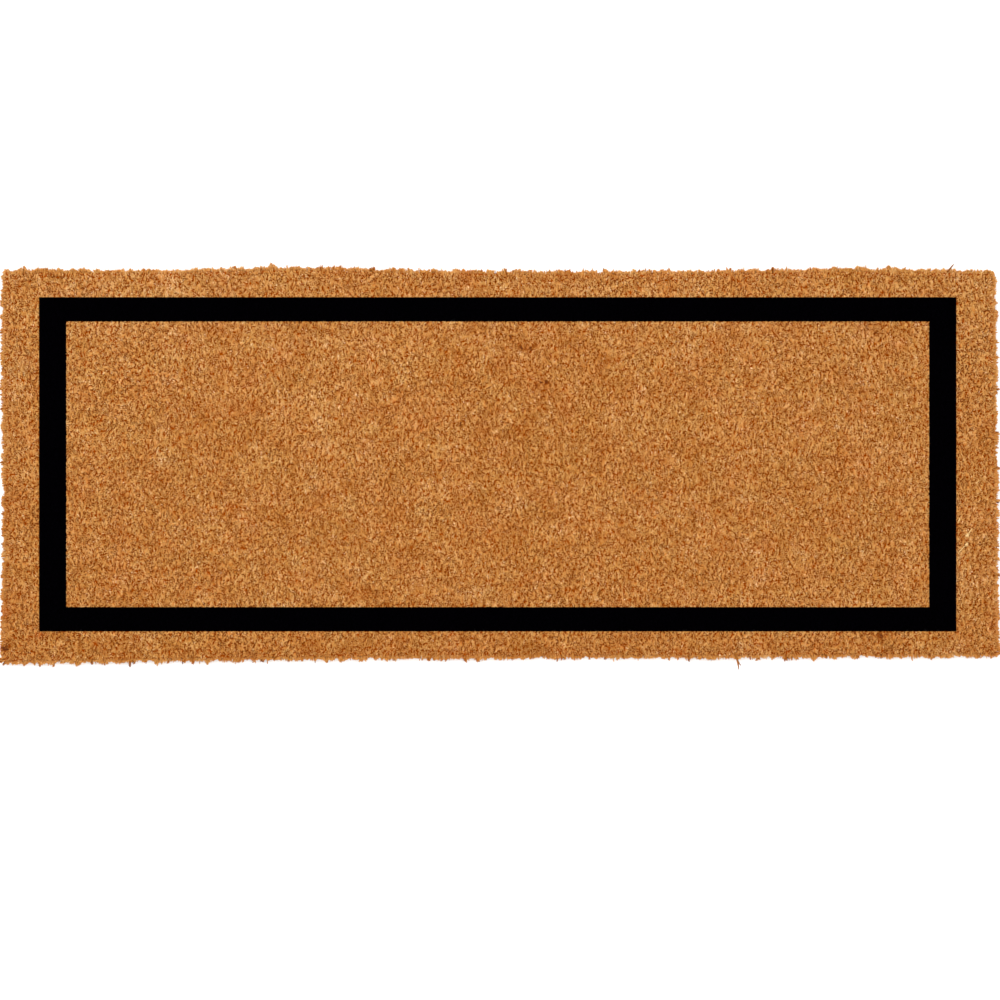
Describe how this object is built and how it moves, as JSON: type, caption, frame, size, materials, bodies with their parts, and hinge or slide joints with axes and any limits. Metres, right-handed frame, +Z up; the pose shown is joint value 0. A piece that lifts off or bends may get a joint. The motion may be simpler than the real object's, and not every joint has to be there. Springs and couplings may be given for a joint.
{
  "type": "door mat",
  "caption": "Flat rectangular coir door mat: natural brown brush pile with a black border band, set in a thin vinyl backing.",
  "frame": {"origin": "on the floor, under the centre of the mat", "axes": "+X along the mat's long side, towards its right end; +Y across it, towards its back edge; +Z up out of the pile"},
  "size_m": [1.2, 0.47, 0.015],
  "materials": {
    "vinyl": "matte flexible vinyl (PVC), fine belt texture underneath",
    "natural_coir": "undyed golden-brown coir brush pile, sheared",
    "black_coir": "black-dyed coir brush pile, sheared"
  },
  "bodies": {
    "root": {"vinyl_backing": "vinyl", "field_pile": "natural_coir", "border_front": "black_coir", "border_back": "black_coir", "border_left": "black_coir", "border_right": "black_coir", "margin_front": "natural_coir", "margin_back": "natural_coir", "margin_left": "natural_coir", "margin_right": "natural_coir"}
  },
  "joints": []
}
